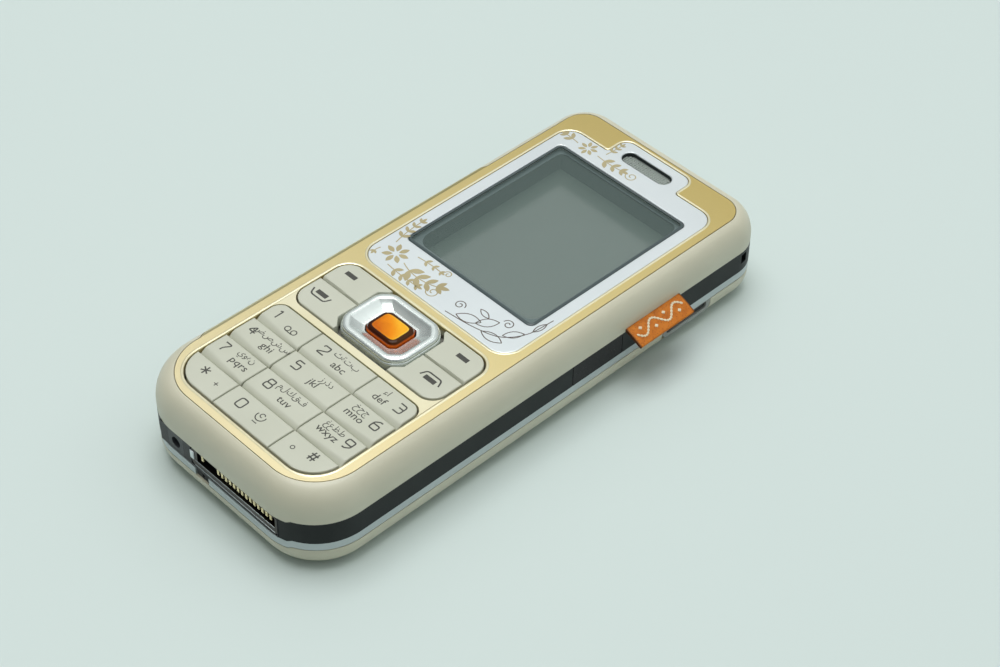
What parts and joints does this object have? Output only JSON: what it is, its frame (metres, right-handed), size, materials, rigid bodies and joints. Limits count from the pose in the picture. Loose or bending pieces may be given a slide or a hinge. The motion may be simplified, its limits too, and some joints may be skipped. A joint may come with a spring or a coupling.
{
  "type": "bar mobile phone",
  "caption": "Bar mobile phone with a sunk screen, framed keypad, chrome four-way key with an amber centre, dark side band and a stitched leather tag.",
  "frame": {"origin": "middle of the flat back face, on which the phone lies", "axes": "+X to the right of the screen, +Y along the body towards the earpiece, +Z out of the screen"},
  "size_m": [0.0484, 0.105, 0.0179],
  "materials": {
    "cream_plastic": "satin",
    "gold_plate": "satin",
    "polished_gold": "polished",
    "silver_plate": "satin",
    "cream_keys": "satin",
    "charcoal_plastic": "satin",
    "infrared_plastic": "gloss",
    "silver_trim": "satin",
    "dark_plastic": "matte",
    "window_glass": "gloss",
    "black_foam": "matte",
    "screen_glass": "gloss",
    "steel_tray": "satin",
    "mesh_metal": "satin",
    "navigation_chrome": "polished",
    "amber_jewel": "gloss",
    "silicone": "matte",
    "dome_metal": "satin",
    "circuit_board": "satin",
    "can_metal": "satin",
    "battery_label": "matte",
    "contact_gold": "polished",
    "card_plastic": "satin",
    "motor_steel": "satin",
    "weight_metal": "satin",
    "black_rubber": "matte",
    "carrier_plastic": "matte",
    "screw_steel": "satin",
    "connector_plastic": "satin",
    "shell_metal": "satin",
    "jack_plastic": "satin",
    "orange_leather": "satin"
  },
  "bodies": {
    "phone": {"antenna_carrier": "carrier_plastic", "antenna_element": "contact_gold", "battery_contacts": "contact_gold", "camera_module": "dark_plastic", "case_screws": "screw_steel", "chassis": "charcoal_plastic", "connector_contacts": "contact_gold", "connector_housing": "connector_plastic", "connector_shell": "shell_metal", "display_bezel": "silver_plate", "display_frame": "steel_tray", "display_gasket": "black_foam", "display_module": "screen_glass", "display_window": "window_glass", "dome_sheet": "dome_metal", "earpiece_mesh": "mesh_metal", "earpiece_speaker": "dark_plastic", "faceplate": "gold_plate", "front_cover": "cream_plastic", "infrared_window": "infrared_plastic", "keypad_board": "circuit_board", "keypad_divider": "polished_gold", "keypad_mat": "silicone", "leather_tag": "orange_leather", "loudspeaker": "dark_plastic", "main_board": "circuit_board", "microphone": "black_rubber", "motor_boot": "black_rubber", "navigation_posts": "dark_plastic", "power_jack": "jack_plastic", "release_surround": "silver_trim", "shield_cans": "can_metal", "sim_holder": "can_metal", "trim_line": "silver_trim", "vibration_motor": "motor_steel"},
    "left_selection_key_body": {"left_selection_key": "cream_keys"},
    "right_selection_key_body": {"right_selection_key": "cream_keys"},
    "call_key_body": {"call_key": "cream_keys"},
    "end_key_body": {"end_key": "cream_keys"},
    "key_1_body": {"key_1": "cream_keys"},
    "key_2_body": {"key_2": "cream_keys"},
    "key_3_body": {"key_3": "cream_keys"},
    "key_4_body": {"key_4": "cream_keys"},
    "key_5_body": {"key_5": "cream_keys"},
    "key_6_body": {"key_6": "cream_keys"},
    "key_7_body": {"key_7": "cream_keys"},
    "key_8_body": {"key_8": "cream_keys"},
    "key_9_body": {"key_9": "cream_keys"},
    "key_star_body": {"key_star": "cream_keys"},
    "key_0_body": {"key_0": "cream_keys"},
    "key_hash_body": {"key_hash": "cream_keys"},
    "gimbal": {"navigation_gimbal": "steel_tray"},
    "navigation": {"navigation_key": "navigation_chrome"},
    "select": {"select_key": "amber_jewel"},
    "release": {"cover_release_button": "dark_plastic"},
    "back_cover": {"battery_cover": "cream_plastic", "camera_ring": "silver_trim"},
    "battery_pack": {"battery": "battery_label"},
    "sim": {"sim_card": "card_plastic"},
    "weight": {"motor_weight": "weight_metal"}
  },
  "joints": [
    {"name": "left_selection_key_press", "type": "slide", "parent": "phone", "child": "left_selection_key_body", "axis": [0, 0, -1], "range_m": [0, 0.0004], "stiffness_N_per_m": 1200, "springref_m": -0.0002, "deforming": ["keypad_mat"]},
    {"name": "right_selection_key_press", "type": "slide", "parent": "phone", "child": "right_selection_key_body", "axis": [0, 0, -1], "range_m": [0, 0.0004], "stiffness_N_per_m": 1200, "springref_m": -0.0002, "deforming": ["keypad_mat"]},
    {"name": "call_key_press", "type": "slide", "parent": "phone", "child": "call_key_body", "axis": [0, 0, -1], "range_m": [0, 0.0004], "stiffness_N_per_m": 1200, "springref_m": -0.0002, "deforming": ["keypad_mat"]},
    {"name": "end_key_press", "type": "slide", "parent": "phone", "child": "end_key_body", "axis": [0, 0, -1], "range_m": [0, 0.0004], "stiffness_N_per_m": 1200, "springref_m": -0.0002, "deforming": ["keypad_mat"]},
    {"name": "key_1_press", "type": "slide", "parent": "phone", "child": "key_1_body", "axis": [0, 0, -1], "range_m": [0, 0.0004], "stiffness_N_per_m": 1200, "springref_m": -0.0002, "deforming": ["keypad_mat"]},
    {"name": "key_2_press", "type": "slide", "parent": "phone", "child": "key_2_body", "axis": [0, 0, -1], "range_m": [0, 0.0004], "stiffness_N_per_m": 1200, "springref_m": -0.0002, "deforming": ["keypad_mat"]},
    {"name": "key_3_press", "type": "slide", "parent": "phone", "child": "key_3_body", "axis": [0, 0, -1], "range_m": [0, 0.0004], "stiffness_N_per_m": 1200, "springref_m": -0.0002, "deforming": ["keypad_mat"]},
    {"name": "key_4_press", "type": "slide", "parent": "phone", "child": "key_4_body", "axis": [0, 0, -1], "range_m": [0, 0.0004], "stiffness_N_per_m": 1200, "springref_m": -0.0002, "deforming": ["keypad_mat"]},
    {"name": "key_5_press", "type": "slide", "parent": "phone", "child": "key_5_body", "axis": [0, 0, -1], "range_m": [0, 0.0004], "stiffness_N_per_m": 1200, "springref_m": -0.0002, "deforming": ["keypad_mat"]},
    {"name": "key_6_press", "type": "slide", "parent": "phone", "child": "key_6_body", "axis": [0, 0, -1], "range_m": [0, 0.0004], "stiffness_N_per_m": 1200, "springref_m": -0.0002, "deforming": ["keypad_mat"]},
    {"name": "key_7_press", "type": "slide", "parent": "phone", "child": "key_7_body", "axis": [0, 0, -1], "range_m": [0, 0.0004], "stiffness_N_per_m": 1200, "springref_m": -0.0002, "deforming": ["keypad_mat"]},
    {"name": "key_8_press", "type": "slide", "parent": "phone", "child": "key_8_body", "axis": [0, 0, -1], "range_m": [0, 0.0004], "stiffness_N_per_m": 1200, "springref_m": -0.0002, "deforming": ["keypad_mat"]},
    {"name": "key_9_press", "type": "slide", "parent": "phone", "child": "key_9_body", "axis": [0, 0, -1], "range_m": [0, 0.0004], "stiffness_N_per_m": 1200, "springref_m": -0.0002, "deforming": ["keypad_mat"]},
    {"name": "key_star_press", "type": "slide", "parent": "phone", "child": "key_star_body", "axis": [0, 0, -1], "range_m": [0, 0.0004], "stiffness_N_per_m": 1200, "springref_m": -0.0002, "deforming": ["keypad_mat"]},
    {"name": "key_0_press", "type": "slide", "parent": "phone", "child": "key_0_body", "axis": [0, 0, -1], "range_m": [0, 0.0004], "stiffness_N_per_m": 1200, "springref_m": -0.0002, "deforming": ["keypad_mat"]},
    {"name": "key_hash_press", "type": "slide", "parent": "phone", "child": "key_hash_body", "axis": [0, 0, -1], "range_m": [0, 0.0004], "stiffness_N_per_m": 1200, "springref_m": -0.0002, "deforming": ["keypad_mat"]},
    {"name": "navigation_tilt_up_down", "type": "hinge", "parent": "phone", "child": "gimbal", "pos_m": [0, -0.01575, 0.01375], "axis": [1, 0, 0], "range_deg": [-1.5, 1.5], "stiffness_Nm_per_rad": 0.06, "deforming": ["keypad_mat"]},
    {"name": "navigation_tilt_left_right", "type": "hinge", "parent": "gimbal", "child": "navigation", "pos_m": [0, -0.01575, 0.01375], "axis": [0, 1, 0], "range_deg": [-1.5, 1.5], "stiffness_Nm_per_rad": 0.06, "deforming": ["keypad_mat"]},
    {"name": "select_press", "type": "slide", "parent": "navigation", "child": "select", "axis": [0, 0, -1], "range_m": [0, 0.0004], "stiffness_N_per_m": 1200, "springref_m": -0.0002, "deforming": ["keypad_mat"]},
    {"name": "cover_release_press", "type": "slide", "parent": "phone", "child": "release", "axis": [-1, 0, 0], "range_m": [0, 0.0008], "stiffness_N_per_m": 1500, "springref_m": -0.0002},
    {"name": "battery_cover_lift", "type": "slide", "parent": "phone", "child": "back_cover", "axis": [0, 0, -1], "range_m": [0, 0.014]},
    {"name": "battery_lift", "type": "slide", "parent": "phone", "child": "battery_pack", "axis": [0, 0, -1], "range_m": [0, 0.007]},
    {"name": "sim_slide", "type": "slide", "parent": "phone", "child": "sim", "axis": [0, -1, 0], "range_m": [0, 0.016]},
    {"name": "motor_spin", "type": "hinge", "parent": "phone", "child": "weight", "pos_m": [0.01, -0.0402, 0.0044], "axis": [1, 0, 0], "continuous": true}
  ],
  "couplings": [
    {"joint": "battery_lift", "follows": "battery_cover_lift", "ratio": 0.5}
  ]
}
